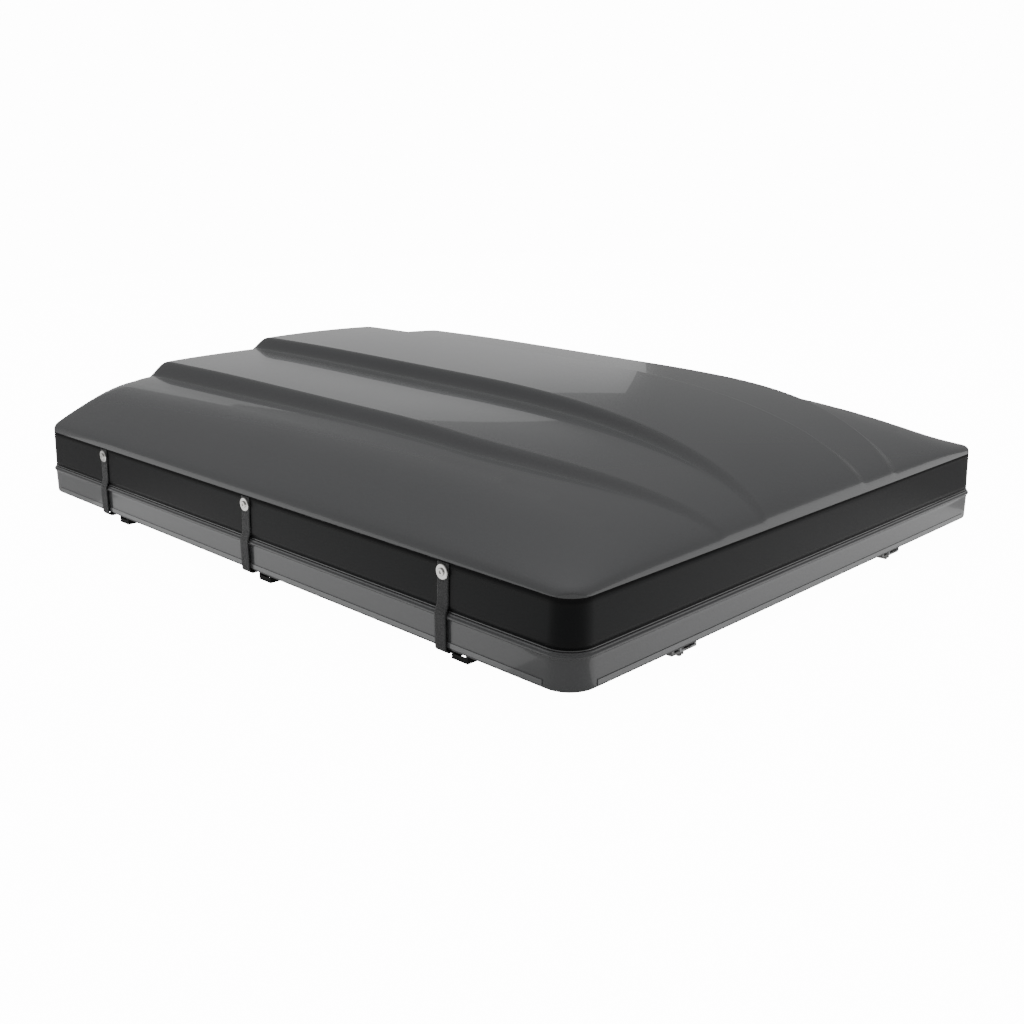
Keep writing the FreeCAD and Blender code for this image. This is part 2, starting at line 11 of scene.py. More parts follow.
import bmesh
import bpy
import numpy as np
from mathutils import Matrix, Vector


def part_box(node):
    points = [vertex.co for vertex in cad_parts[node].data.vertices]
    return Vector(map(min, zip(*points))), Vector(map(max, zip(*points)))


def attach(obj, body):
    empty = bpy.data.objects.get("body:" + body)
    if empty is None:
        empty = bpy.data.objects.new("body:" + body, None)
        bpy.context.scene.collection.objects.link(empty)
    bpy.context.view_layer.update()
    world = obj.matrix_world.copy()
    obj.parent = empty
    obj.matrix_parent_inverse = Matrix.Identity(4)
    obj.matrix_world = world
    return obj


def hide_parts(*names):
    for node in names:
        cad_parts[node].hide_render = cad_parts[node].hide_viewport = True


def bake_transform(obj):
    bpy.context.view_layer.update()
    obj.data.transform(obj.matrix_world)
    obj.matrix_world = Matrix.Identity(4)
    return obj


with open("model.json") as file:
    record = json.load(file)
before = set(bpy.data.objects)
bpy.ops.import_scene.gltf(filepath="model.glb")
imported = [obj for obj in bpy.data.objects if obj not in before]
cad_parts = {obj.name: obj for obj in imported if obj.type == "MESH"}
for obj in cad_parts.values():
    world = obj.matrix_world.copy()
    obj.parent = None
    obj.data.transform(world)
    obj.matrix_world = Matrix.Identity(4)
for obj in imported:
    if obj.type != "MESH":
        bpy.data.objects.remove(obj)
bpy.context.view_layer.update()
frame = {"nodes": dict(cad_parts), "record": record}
TRAY = np.array(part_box("base_tray"), float)
LID = np.array(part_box("lid_shell"), float)
BAND = np.array(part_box("lid_band"), float)
print("tray", TRAY.round(4).tolist(), "lid", LID.round(4).tolist())

# %% [markdown]
# ## Named sizes
# All in metres. The overall sizes are read from the frame. The shape numbers of the
# roof are the ones the CAD surface was built from.

# %% Sizes
WIDTH, LENGTH = TRAY[1, 0] - TRAY[0, 0], TRAY[1, 1] - TRAY[0, 1]
UNDER, RIM = TRAY[0, 2], TRAY[1, 2]
PART_Z = LID[0, 2]
FOOT = BAND[1, 2] + 0.004          # where the roof starts, just above the black band
CORNER = 0.052
INSET_LOW, INSET_TOP = 0.0047, 0.0076
SHELL = 0.0045
EDGE_X, EDGE_Y = WIDTH / 2 - INSET_TOP, LENGTH / 2 - INSET_TOP
# The roof's shape, in millimetres as in the CAD source.
SIDE_H, SIDE_RUN, SIDE_POWER = 105.0, 165.0, 1.35
DECK_H, DECK_CROWN, DECK_SPAN, DECK_R = 94.0, 16.0, 490.0, 9.0
PANEL_X, PANEL_X_FRONT, PANEL_TAPER_Y, PANEL_W = 400.0, 262.0, 330.0, 26.0
PANEL_H, PANEL_H_REAR = 24.0, 8.0
CENTRE_X, CENTRE_W, CENTRE_H, CENTRE_CROWN = 150.0, 24.0, 27.0, 3.0
FRONT_START, FRONT_SHARE, FRONT_POWER = 300.0, 0.985, 3.7
LIP_H, LIP_RUN = 8.0, 7.0
REAR_SLOPE, REAR_R = 1.10, 10.0
print("width %.3f length %.3f under %.3f rim %.3f foot %.3f" % (WIDTH, LENGTH, UNDER, RIM, FOOT))


# %% [markdown]
# ## Mesh helpers
# `grid_mesh` turns a block of points into quads, with smooth normals taken from the
# block itself, so a gloss surface reflects without facets.

# %% Helpers
def grid_mesh(name, P, wrap=True, uv=None, normals=None):
    """P is (K, N, 3): K rings of N points. Quads join ring k to k+1; wrap joins the last
    point of a ring to its first. The normal at (k, n) is dP/dn x dP/dk."""
    P = np.asarray(P, float)
    K, N, _ = P.shape
    k, n = np.meshgrid(np.arange(K - 1), np.arange(N if wrap else N - 1), indexing="ij")
    m = (n + 1) % N
    faces = np.stack([k * N + n, k * N + m, (k + 1) * N + m, (k + 1) * N + n], -1).reshape(-1, 4)
    mesh = bpy.data.meshes.new(name)
    mesh.vertices.add(K * N)
    mesh.vertices.foreach_set("co", P.reshape(-1).astype(np.float32))
    mesh.loops.add(faces.size)
    mesh.loops.foreach_set("vertex_index", faces.reshape(-1).astype(np.int32))
    mesh.polygons.add(len(faces))
    mesh.polygons.foreach_set("loop_start", np.arange(0, faces.size, 4, dtype=np.int32))
    mesh.polygons.foreach_set("loop_total", np.full(len(faces), 4, np.int32))
    mesh.update(calc_edges=True)
    if uv is not None:
        layer = mesh.uv_layers.new(name="UVMap")
        corner_uv = np.asarray(uv, float).reshape(-1, 2)[faces.reshape(-1)]
        layer.data.foreach_set("uv", corner_uv.reshape(-1).astype(np.float32))
    mesh.validate(clean_customdata=False)
    mesh.polygons.foreach_set("use_smooth", np.ones(len(mesh.polygons), bool))
    if normals is not None:
        mesh.normals_split_custom_set_from_vertices(np.asarray(normals, float).reshape(-1, 3).tolist())
    obj = bpy.data.objects.new(name, mesh)
    bpy.context.scene.collection.objects.link(obj)
    return obj


def rounded_rect(hx, hy, r, nc, nx, ny):
    """Closed outline of a rounded rectangle with half sizes hx and hy, counter-clockwise, as
    (N, 2) points: nc on each corner, nx and ny between them."""
    out = []
    corners = ((hx - r, hy - r, 0), (r - hx, hy - r, 90), (r - hx, r - hy, 180), (hx - r, r - hy, 270))
    for i, (cx, cy, a0) in enumerate(corners):
        a = np.radians(a0 + np.linspace(0, 90, nc))
        out.append(np.stack([cx + r * np.cos(a), cy + r * np.sin(a)], 1))
        ex, ey, a1 = corners[(i + 1) % 4]
        p = out[-1][-1]
        q = np.array([ex + r * math.cos(math.radians(a1)), ey + r * math.sin(math.radians(a1))])
        t = np.linspace(0, 1, (nx if i % 2 == 0 else ny) + 2)[1:-1, None]
        out.append(p + (q - p) * t)
    return np.concatenate(out)


def outline(inset, nc, nx, ny):
    """The tray outline moved inwards by inset. Every inset gives the same number of points."""
    hx, hy = max(WIDTH / 2 - inset, 0.0), LENGTH / 2 - inset
    return rounded_rect(hx, hy, min(max(CORNER - inset, 0.010), hx), nc, nx, ny)


def swept(profile, nc, nx, ny):
    """Sweep (inset, z) pairs round the tray outline: one ring per pair, at height z."""
    rings = [(outline(inset, nc, nx, ny), z) for inset, z in profile]
    return np.stack([np.column_stack([ring, np.full(len(ring), z)]) for ring, z in rings])


def arc(cx, cz, r, a0, a1, n):
    """Points on a circle in the (inset, z) plane."""
    a = np.radians(np.linspace(a0, a1, n))
    return [(cx + r * math.cos(t), cz + r * math.sin(t)) for t in a]


# %% [markdown]
# ## Roof formula
# The roof height above its foot is the soft minimum of front(y) * deck(x, y) + lip and a
# rear ramp. The deck is a soft minimum of a convex side and a crowned top, plus the outer
# panels and the centre panel, each with an eased wall. front is a super-ellipse that drops
# to the low end, and lip is a quick rise at the edge. A soft minimum of a and b is
# -k log(exp(-a / k) + exp(-b / k)).

# %% Roof height
def ease(t):
    t = np.clip(t, 0, 1)
    return t * t * (3 - 2 * t)


def panel_x(ymm):
    """Half distance between the outer walls of the outer panels, in millimetres."""
    t = np.clip((-PANEL_TAPER_Y - ymm) / (EDGE_Y * 1000 - PANEL_TAPER_Y), 0, 1)
    return PANEL_X - (PANEL_X - PANEL_X_FRONT) * t ** 1.8


def soft_min(a, b, k):
    return -k * np.logaddexp(-a / k, -b / k)


def front_rise(ymm):
    """Super-ellipse: 0 at the low front edge, 1 behind FRONT_START."""
    s = FRONT_SHARE * np.clip(FRONT_START - ymm, 0, None) / (FRONT_START + EDGE_Y * 1000)
    low = math.sqrt(1 - FRONT_SHARE ** FRONT_POWER)
    return (np.sqrt(1 - np.minimum(s, 0.9995) ** FRONT_POWER) - low) / (1 - low)


def roof_height(x, y):
    """Height of the roof skin in metres; x and y are arrays in metres."""
    a, ymm = np.abs(x) * 1000, y * 1000
    ex, ey = EDGE_X * 1000, EDGE_Y * 1000
    t = (ex - a) / SIDE_RUN
    side = SIDE_H * np.where(t < 1, 1 - np.clip(1 - t, 0, None) ** SIDE_POWER, t)
    top = DECK_H + DECK_CROWN * (1 - (a / DECK_SPAN) ** 4)
    deck = soft_min(side, top, DECK_R)
    outer = PANEL_H + PANEL_H_REAR * ease((ymm + 100) / 600)
    deck = deck + outer * (1 - ease((a - panel_x(ymm)) / PANEL_W))
    deck = deck + CENTRE_H * (1 - ease((a - CENTRE_X) / CENTRE_W))
    deck = deck + CENTRE_CROWN * np.clip(1 - (a / CENTRE_X) ** 2, 0, None)
    lip = LIP_H * (1 - np.exp(-np.clip(np.minimum(ex - a, ey + ymm), 0, None) / LIP_RUN))
    return FOOT + soft_min(front_rise(ymm) * deck + lip, REAR_SLOPE * (ey - ymm), REAR_R) / 1000


print("roof top %.4f m, lid box %.4f m" % (float(roof_height(np.array(0.0), np.array(0.45))), LID[1, 2]))

# %% [markdown]
# ## Lid skin
# The roof is a grid whose cross lines follow the panel walls. Near each plan corner the
# square grid is mapped onto the quarter disc of the corner by
# x' = a * sqrt(1 - b^2 / 2), y' = b * sqrt(1 - a^2 / 2). The rim is rolled over, and its
# border continues down the skirt with a shallow step for the band.

# %% Lid skin
ROLL, ROLL_DROP = 0.010, 0.0055
LID_R = CORNER - INSET_TOP
EDGE_STEPS = np.array([0, 0.0003, 0.0008, 0.0015, 0.0024, 0.0035, 0.0048, 0.0063,
                       0.008, 0.010, 0.0125, 0.016, 0.021, 0.028, 0.036])


def cross_lines(y):
    """x of every grid line at each y, from the middle out to the edge: (len(y), n)."""
    px = panel_x(y * 1000) / 1000
    keys = [(0 * px, 12), (0 * px + 0.144, 14), (0 * px + 0.180, 12), (px - 0.006, 14),
            (px + 0.032, 10), (0 * px + EDGE_X - LID_R, 0)]
    cols = []
    for (p, n), (q, _) in zip(keys, keys[1:]):
        cols += [p + (q - p) * i / n for i in range(n)]
    cols += [0 * px + EDGE_X - d for d in np.concatenate([[LID_R], EDGE_STEPS[::-1]])]
    half = np.stack(cols, 1)
    return np.concatenate([-half[:, :0:-1], half], 1)


def length_lines():
    """y of every grid line, finer where the roof falls at each end."""
    mid = np.concatenate([np.linspace(-EDGE_Y + LID_R, -0.60, 22)[:-1],
                          np.linspace(-0.60, 0.50, 100)[:-1],
                          np.linspace(0.50, EDGE_Y - LID_R, 44)])
    fine = np.concatenate([EDGE_STEPS[:-1], [0.032, 0.036, 0.040]])
    return np.concatenate([-EDGE_Y + fine, mid, (EDGE_Y - fine)[::-1]])


def round_corners(x, y, r, ex, ey):
    """Map the corner squares of the rectangle (ex, ey) onto quarter discs of radius r."""
    a = np.clip((np.abs(x) - (ex - r)) / r, 0, None)
    b = np.clip((np.abs(y) - (ey - r)) / r, 0, None)
    inside = (a > 0) & (b > 0)
    nx = np.where(inside, (ex - r) + r * a * np.sqrt(np.clip(1 - b * b / 2, 0, 1)), np.abs(x))
    ny = np.where(inside, (ey - r) + r * b * np.sqrt(np.clip(1 - a * a / 2, 0, 1)), np.abs(y))
    return np.sign(x) * nx, np.sign(y) * ny


def edge_gap(x, y, r, ex, ey):
    """Distance in from the rounded outline, and the outline's outward direction."""
    ax, ay = np.abs(x) - (ex - r), np.abs(y) - (ey - r)
    corner = (ax > 0) & (ay > 0)
    rad = np.hypot(ax, ay)
    d = np.where(corner, r - rad, np.minimum(r - ax, r - ay))
    ox = np.where(corner, ax / np.maximum(rad, 1e-9), (ax >= ay) * 1.0) * np.sign(x)
    oy = np.where(corner, ay / np.maximum(rad, 1e-9), (ax < ay) * 1.0) * np.sign(y)
    return np.clip(d, 0, None), ox, oy


yl = length_lines()
gx = cross_lines(yl)
gy = np.repeat(yl[:, None], gx.shape[1], 1)
X, Y = round_corners(gx, gy, LID_R, EDGE_X, EDGE_Y)
D, OX, OY = edge_gap(X, Y, LID_R, EDGE_X, EDGE_Y)
U = np.clip(1 - D / ROLL, 0, 1)
Z = roof_height(X, Y) - ROLL_DROP * (1 - np.sqrt(1 - U * U))
STEP = 0.0006
zx = (roof_height(X + STEP, Y) - roof_height(X - STEP, Y)) / (2 * STEP)
zy = (roof_height(X, Y + STEP) - roof_height(X, Y - STEP)) / (2 * STEP)
fall = ROLL_DROP / ROLL * U / np.maximum(np.sqrt(1 - U * U), 0.012)
N = np.stack([-zx + fall * OX, -zy + fall * OY, np.ones_like(Z)], -1)
N /= np.linalg.norm(N, axis=-1, keepdims=True)
roof = np.stack([X, Y, Z], -1)
roof_skin = grid_mesh("roof_skin", roof, wrap=False, normals=N)


def border(block):
    """The border points of a grid, counter-clockwise seen from above."""
    return np.concatenate([block[0, :-1], block[:-1, -1], block[-1, :0:-1], block[:0:-1, 0]])


rim, out = border(roof), np.stack([border(OX), border(OY)], 1)
rim_z = rim[:, 2]


def skirt_ring(inset, z):
    """The border moved outwards to this inset from the tray outline, at height z."""
    return np.column_stack([rim[:, :2] + out * (INSET_TOP - inset), np.broadcast_to(z, len(rim))])


top, low = BAND[1, 2], BAND[0, 2]
section = [(INSET_LOW + SHELL, PART_Z), (INSET_LOW + 0.0006, PART_Z), (INSET_LOW, PART_Z + 0.0006),
           (INSET_LOW, low - 0.0002), (INSET_LOW + 0.0009, low), (INSET_TOP + 0.0009, top),
           (INSET_TOP, top + 0.0002), (INSET_TOP, top + 0.0006), (INSET_TOP, rim_z - 0.0002)]
rings = np.stack([skirt_ring(inset, z) for inset, z in section] + [rim])
flat = np.column_stack([out, np.zeros(len(out))])
skirt_n = np.repeat(flat[None], len(rings), 0)
skirt_n[0] = (0, 0, -1)
skirt_n[1] = (flat + (0, 0, -1)) / math.sqrt(2)
skirt = grid_mesh("skirt_skin", rings, normals=skirt_n)
inner_x, inner_y = X * (EDGE_X - SHELL) / EDGE_X, Y * (EDGE_Y - SHELL) / EDGE_Y
steep = np.minimum(1.6, np.sqrt(1 + zx ** 2 + zy ** 2))
inside = np.stack([inner_x, inner_y, roof_height(inner_x, inner_y) - SHELL * steep], -1)
lid_inside = grid_mesh("lid_inside", inside[::-1], wrap=False)
wall = grid_mesh("lid_inner_wall", np.stack([border(inside), skirt_ring(INSET_LOW + SHELL, PART_Z)]))
for piece in (roof_skin, skirt, lid_inside, wall):
    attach(piece, "lid")
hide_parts("lid_shell")
print("roof skin", len(roof_skin.data.polygons), "faces, skirt", len(skirt.data.polygons))

# %% [markdown]
# ## Band
# The black band stands flush in its step, with the same corner rounding as the lid.

# %% Band skin
def skirt_inset(z):
    """How far the tapered skirt stands in from the tray outline at height z."""
    return INSET_LOW + (INSET_TOP - INSET_LOW) * (z - PART_Z) / (FOOT - PART_Z)


zb = np.linspace(BAND[0, 2], BAND[1, 2], 9)
prof = [(INSET_LOW + 0.0008, zb[0])] + [(skirt_inset(z), z) for z in zb] + [(INSET_TOP + 0.0008, zb[-1])]
band_skin = grid_mesh("band_skin", swept(prof, nc=20, nx=120, ny=150))
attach(band_skin, "lid")
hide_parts("lid_band")
print("band", len(band_skin.data.polygons), "faces")

# %% [markdown]
# ## Tray skin
# A closed section swept round the outline: floor, rolled lower edge, wall, half-round
# bead, ledge and inner wall. Behind each hinge the bead fades into the wall.

# %% Tray skin
BEAD = 0.003
tray_prof = [(WIDTH / 2, UNDER), (0.30, UNDER), (0.06, UNDER), (0.02, UNDER)]
tray_prof += arc(BEAD + 0.006, UNDER + 0.006, 0.006, 270, 180, 9)
tray_prof += [(BEAD, UNDER + 0.012), (BEAD, RIM - 0.016), (BEAD, RIM - 0.0105)]
tray_prof += arc(BEAD, RIM - 0.006, 0.003, 260, 100, 11)
tray_prof += [(BEAD, RIM - 0.0026)] + arc(BEAD + 0.0012, RIM - 0.0012, 0.0012, 180, 90, 5)
tray_prof += [(BEAD + 0.012, RIM), (0.031, RIM), (0.031, RIM - 0.004), (0.0072, RIM - 0.0042),
              (0.007, UNDER + 0.010), (0.010, UNDER + 0.004), (0.06, UNDER + 0.004),
              (WIDTH / 2, UNDER + 0.004)]
block = swept(tray_prof, nc=24, nx=150, ny=220)
HINGE_HALF, FADE = 0.046, 0.006
near = np.zeros(block.shape[:2])
for tag in ("front", "middle", "rear"):
    y = np.mean([b[1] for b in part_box("hinge_%s_pin" % tag)])
    near = np.maximum(near, np.clip(1 - (np.abs(block[..., 1] - y) - HINGE_HALF) / FADE, 0, 1))
face = WIDTH / 2 - BEAD
high = (block[..., 0] > face) & (block[..., 2] > RIM - 0.013)
block[..., 0] = np.where(high, block[..., 0] + (face - block[..., 0]) * near, block[..., 0])
tray_skin = grid_mesh("tray_skin", block)
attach(tray_skin, "base")
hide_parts("base_tray")
print("tray", len(tray_skin.data.polygons), "faces")

# %% [markdown]
# ## Straps
# Each strap is one strip of ribbed webbing. Its middle line starts above the screw,
# lies against the lid, passes over the bead and turns under the tray into the buckle.
# The strip is one fixed mesh, not attached to the lid or the tray.

# %% Straps
STRAP_W, STRAP_T = 0.025, 0.0019


def strap_path(tag):
    """Middle line of the webbing in the XZ plane, resampled to even steps of 1.2 mm."""
    up = np.array(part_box("strap_%s_upper" % tag))
    tail = np.array(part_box("strap_%s_tail" % tag))
    zs = np.linspace(up[1, 2], PART_Z + 0.010, 12)
    lid_x = -(WIDTH / 2 - skirt_inset(zs))
    line = [(x - 0.0005 - STRAP_T / 2, z) for x, z in zip(lid_x, zs)]
    wall = tail[0, 0] + STRAP_T / 2 + 0.0001
    line += [(wall, RIM - 0.003), (wall, RIM - 0.02), (wall, UNDER + 0.012), (wall, UNDER + 0.004)]
    r = UNDER + 0.004 - (tail[0, 2] + STRAP_T / 2)
    turn = np.radians((15, 30, 45, 60, 75, 90))
    line += [(wall + r - r * math.cos(t), UNDER + 0.004 - r * math.sin(t)) for t in turn]
    line += [(tail[1, 0] - 0.002, tail[0, 2] + STRAP_T / 2)]
    line = np.array(line)
    s = np.concatenate([[0], np.cumsum(np.linalg.norm(np.diff(line, axis=0), axis=1))])
    t = np.linspace(0, s[-1], int(s[-1] / 0.0012))
    return np.column_stack([np.interp(t, s, line[:, 0]), np.interp(t, s, line[:, 1])]), t


strap_objs = {}
for tag in ("front", "middle", "rear"):
    line, t = strap_path(tag)
    box = np.array(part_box("strap_%s_upper" % tag))
    yc = (box[0, 1] + box[1, 1]) / 2
    tangent = np.gradient(line, axis=0)
    tangent /= np.linalg.norm(tangent, axis=1, keepdims=True)
    normal = np.column_stack([tangent[:, 1], -tangent[:, 0]])
    hw, ht, rr = STRAP_W / 2, STRAP_T / 2, 0.0006
    section = [(-hw + rr, -ht), (hw - rr, -ht), (hw, -ht + rr), (hw, ht - rr),
               (hw - rr, ht), (-hw + rr, ht), (-hw, ht - rr), (-hw, -ht + rr)]
    fine = []
    for a, b in zip(section, section[1:] + section[:1]):
        steps = 9 if abs(a[0] - b[0]) > 0.01 else 1
        fine += [tuple(p + (q - p) * i / steps for p, q in zip(a, b)) for i in range(steps)]
    fine = np.array(fine)
    rib = 0.00016 * np.sin(2 * np.pi * t / 0.0042)
    P = np.zeros((len(t), len(fine), 3))
    off = fine[None, :, 1] + np.sign(fine[None, :, 1]) * rib[:, None]
    P[..., 0] = line[:, 0, None] + normal[:, 0, None] * off
    P[..., 2] = line[:, 1, None] + normal[:, 1, None] * off
    P[..., 1] = yc + fine[None, :, 0]
    uv = np.stack(np.broadcast_arrays(t[:, None], fine[None, :, 0]), -1)
    web = grid_mesh("strap_%s" % tag, P, uv=uv)
    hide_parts("strap_%s_upper" % tag, "strap_%s_tail" % tag)
    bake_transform(web)
    strap_objs[tag] = web
    print("strap", tag, "length %.3f m" % t[-1])

# %% [markdown]
# ## Mattress and canvas
# The foam mattress halves are boxes with a crowned top, piped seams and sides that pull
# in between them. The canvas bundle is a stack of folds: its side is a row of half-round
# bulges, and its top has long shallow creases.

# %% Mattress and canvas
def soft_block(name, node, corner, side_profile, top_relief):
    """A closed soft block inside a CAD node's box. side_profile is a list of (inset, share of
    height); top_relief(x, y, edge) lowers the top, where edge is the distance in from the rim."""
    b = np.array(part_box(node), float)
    hx, hy = (b[1, :2] - b[0, :2]) / 2
    mid = (b[0, :2] + b[1, :2]) / 2
    ring = lambda d: rounded_rect(hx - d, hy - d, min(max(corner - d * 0.3, 0.002), hx - d), 10, 60, 60)
    rows = []
    for d in np.linspace(min(hx, hy), side_profile[0][0], 8):
        rows.append(np.column_stack([ring(d), np.full(len(ring(d)), b[0, 2])]))
    for d, share in side_profile:
        rows.append(np.column_stack([ring(d), np.full(len(ring(d)), b[0, 2] + share * (b[1, 2] - b[0, 2]))]))
    start = side_profile[-1][0]
    reach = np.concatenate([np.linspace(0.002, 0.05, 8), np.linspace(0.06, min(hx, hy) - start, 26)])
    for d in reach:
        p = ring(start + d)
        rows.append(np.column_stack([p, b[1, 2] - top_relief(p[:, 0], p[:, 1], d)]))
    P = np.stack(rows)
    P[..., :2] += mid
    piece = grid_mesh(name, P)
    bm = bmesh.new()
    bm.from_mesh(piece.data)
    bmesh.ops.remove_doubles(bm, verts=bm.verts, dist=1e-5)
    bm.to_mesh(piece.data)
    bm.free()
    return piece


def foam_top(x, y, edge):
    """Lowest at the seam, full height 60 mm further in, with shallow tufted hollows."""
    rise = 1 - np.exp(-edge / 0.02)
    tuft = 0.5 + 0.5 * np.cos(2 * np.pi * x / 0.236) * np.cos(2 * np.pi * y / 0.2406)
    return 0.0045 * (1 - rise) + 0.0022 * rise * (1 - tuft) ** 2


def canvas_top(x, y, edge):
    """Long creases along the fold direction and a soft fall to the sides."""
    crease = np.abs(np.sin(2 * np.pi * (x / 0.31 + 0.04 * np.sin(5.1 * y) + 0.02 * np.sin(13.7 * y + 1))))
    fine = 0.5 + 0.5 * np.sin(31 * x + 9 * y + 2.2 * np.sin(6 * y)) * np.sin(23 * y - 11 * x)
    return 0.011 * np.exp(-edge / 0.03) + 0.005 * (1 - crease) ** 3 + 0.0016 * fine


pipe = lambda z: [(0.0012, z - 0.05), (0.0, z - 0.02), (0.0, z + 0.02), (0.0012, z + 0.05)]
foam_side = [(0.003, 0.0)] + pipe(0.08) + [(0.004, 0.3), (0.005, 0.5), (0.004, 0.68)]
foam_side += pipe(0.83)[:3] + [(0.0015, 0.885)]
folds = 7
canvas_side = [(0.012, 0.0)]
for i in range(folds):
    for a in np.linspace(-70, 70, 7):
        share = (i + 0.5 + 0.5 * math.sin(math.radians(a))) / folds * 0.8 + 0.01
        inset = 0.0115 - 0.0075 * math.cos(math.radians(a)) + 0.0035 * math.sin(2.3 * i) ** 2
        canvas_side.append((inset, share))
soft = {"mattress_lower": soft_block("mattress_lower_pad", "mattress_lower", 0.03, foam_side, foam_top),
        "mattress_upper": soft_block("mattress_upper_pad", "mattress_upper", 0.03, foam_side, foam_top),
        "canvas_bundle": soft_block("canvas_folds", "canvas_bundle", 0.04, canvas_side, canvas_top)}
for node, piece in soft.items():
    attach(piece, "base")
    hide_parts(node)
    print(piece.name, len(piece.data.polygons), "faces")

# %% [markdown]
# ## Materials
# Shared effects are node groups: a faint ripple for moulded gloss, a weave for cloth,
# and brushed lines for metal. All read object coordinates in metres.

# %% Materials
def new_group(name, ins, outs):
    g = bpy.data.node_groups.new(name, "ShaderNodeTree")
    for n, kind, value in ins:
        g.interface.new_socket(name=n, in_out="INPUT", socket_type=kind).default_value = value
    for n, kind in outs:
        g.interface.new_socket(name=n, in_out="OUTPUT", socket_type=kind)
    a, b = g.nodes.new("NodeGroupInput"), g.nodes.new("NodeGroupOutput")
    a.location, b.location = (-800, 0), (600, 0)
    return g, a, b


def ripple_group():
    """Noise bump plus slow changes of roughness: inputs Scale, Height, Rough, Vary."""
    number, vector = "NodeSocketFloat", "NodeSocketVector"
    g, a, b = new_group("Moulded surface", [("Scale", number, 60.0), ("Height", number, 0.02),
                                            ("Rough", number, 0.3), ("Vary", number, 0.05)],
                        [("Normal", vector), ("Roughness", number), ("Shade", number)])
    co = g.nodes.new("ShaderNodeTexCoord")
    n1 = g.nodes.new("ShaderNodeTexNoise")
    n1.inputs["Detail"].default_value = 3.0
    g.links.new(co.outputs["Object"], n1.inputs["Vector"])
    g.links.new(a.outputs["Scale"], n1.inputs["Scale"])
    bump = g.nodes.new("ShaderNodeBump")
    bump.inputs["Distance"].default_value = 0.001
    g.links.new(a.outputs["Height"], bump.inputs["Strength"])
    g.links.new(n1.outputs["Fac"], bump.inputs["Height"])
    g.links.new(bump.outputs["Normal"], b.inputs["Normal"])
    n2 = g.nodes.new("ShaderNodeTexNoise")
    n2.inputs["Scale"].default_value = 4.0
    n2.inputs["Detail"].default_value = 4.0
    g.links.new(co.outputs["Object"], n2.inputs["Vector"])
    m = g.nodes.new("ShaderNodeMath")
    m.operation = "MULTIPLY_ADD"
    g.links.new(n2.outputs["Fac"], m.inputs[0])
    g.links.new(a.outputs["Vary"], m.inputs[1])
    g.links.new(a.outputs["Rough"], m.inputs[2])
    g.links.new(m.outputs[0], b.inputs["Roughness"])
    g.links.new(n2.outputs["Fac"], b.inputs["Shade"])
    return g


def weave_group():
    """Woven look: sin(Pitch x) + sin(Pitch y) + sin(Pitch z) drives a small bump."""
    number = "NodeSocketFloat"
    g, a, b = new_group("Woven cloth", [("Pitch", number, 900.0), ("Height", number, 0.3)],
                        [("Normal", "NodeSocketVector"), ("Shade", number)])
    co = g.nodes.new("ShaderNodeTexCoord")
    sep = g.nodes.new("ShaderNodeSeparateXYZ")
    g.links.new(co.outputs["Object"], sep.inputs[0])
    total = None
    for axis in ("X", "Y", "Z"):
        m = g.nodes.new("ShaderNodeMath")
        m.operation = "MULTIPLY"
        g.links.new(sep.outputs[axis], m.inputs[0])
        g.links.new(a.outputs["Pitch"], m.inputs[1])
        s = g.nodes.new("ShaderNodeMath")
        s.operation = "SINE"
        g.links.new(m.outputs[0], s.inputs[0])
        if total is None:
            total = s
        else:
            add = g.nodes.new("ShaderNodeMath")
            add.operation = "ADD"
            g.links.new(total.outputs[0], add.inputs[0])
            g.links.new(s.outputs[0], add.inputs[1])
            total = add
    bump = g.nodes.new("ShaderNodeBump")
    bump.inputs["Distance"].default_value = 0.0006
    g.links.new(a.outputs["Height"], bump.inputs["Strength"])
    g.links.new(total.outputs[0], bump.inputs["Height"])
    g.links.new(bump.outputs["Normal"], b.inputs["Normal"])
    n = g.nodes.new("ShaderNodeTexNoise")
    n.inputs["Scale"].default_value = 22.0
    g.links.new(co.outputs["Object"], n.inputs["Vector"])
    g.links.new(n.outputs["Fac"], b.inputs["Shade"])
    return g


RIPPLE, WEAVE = ripple_group(), weave_group()


def material(name, colour, rough, metallic=0.0, coat=0.0, coat_rough=0.04, group=RIPPLE, scale=60.0,
             height=0.02, vary=0.05, shade=0.06, sheen=0.0, spec=0.5, aniso=0.0):
    """A principled surface with a shared node group for bump, roughness and shade."""
    m = bpy.data.materials.new(name)
    m.use_nodes = True
    nt = m.node_tree
    p = nt.nodes["Principled BSDF"]
    p.inputs["Metallic"].default_value = metallic
    p.inputs["Coat Weight"].default_value = coat
    p.inputs["Coat Roughness"].default_value = coat_rough
    p.inputs["Sheen Weight"].default_value = sheen
    p.inputs["Specular IOR Level"].default_value = spec
    p.inputs["Anisotropic"].default_value = aniso
    p.inputs["Roughness"].default_value = rough
    g = nt.nodes.new("ShaderNodeGroup")
    g.node_tree = group
    if group is RIPPLE:
        g.inputs["Scale"].default_value = scale
        g.inputs["Height"].default_value = height
        g.inputs["Rough"].default_value = rough - vary / 2
        g.inputs["Vary"].default_value = vary
        nt.links.new(g.outputs["Roughness"], p.inputs["Roughness"])
    else:
        g.inputs["Pitch"].default_value = scale
        g.inputs["Height"].default_value = height
    nt.links.new(g.outputs["Normal"], p.inputs["Normal"])
    mix = nt.nodes.new("ShaderNodeMix")
    mix.data_type = "RGBA"
    dark = [c * (1 - shade) for c in colour] + [1]
    light = [min(c * (1 + shade), 1) for c in colour] + [1]
    mix.inputs[6].default_value = dark
    mix.inputs[7].default_value = light
    nt.links.new(g.outputs["Shade"], mix.inputs[0])
    nt.links.new(mix.outputs[2], p.inputs["Base Color"])
    return m


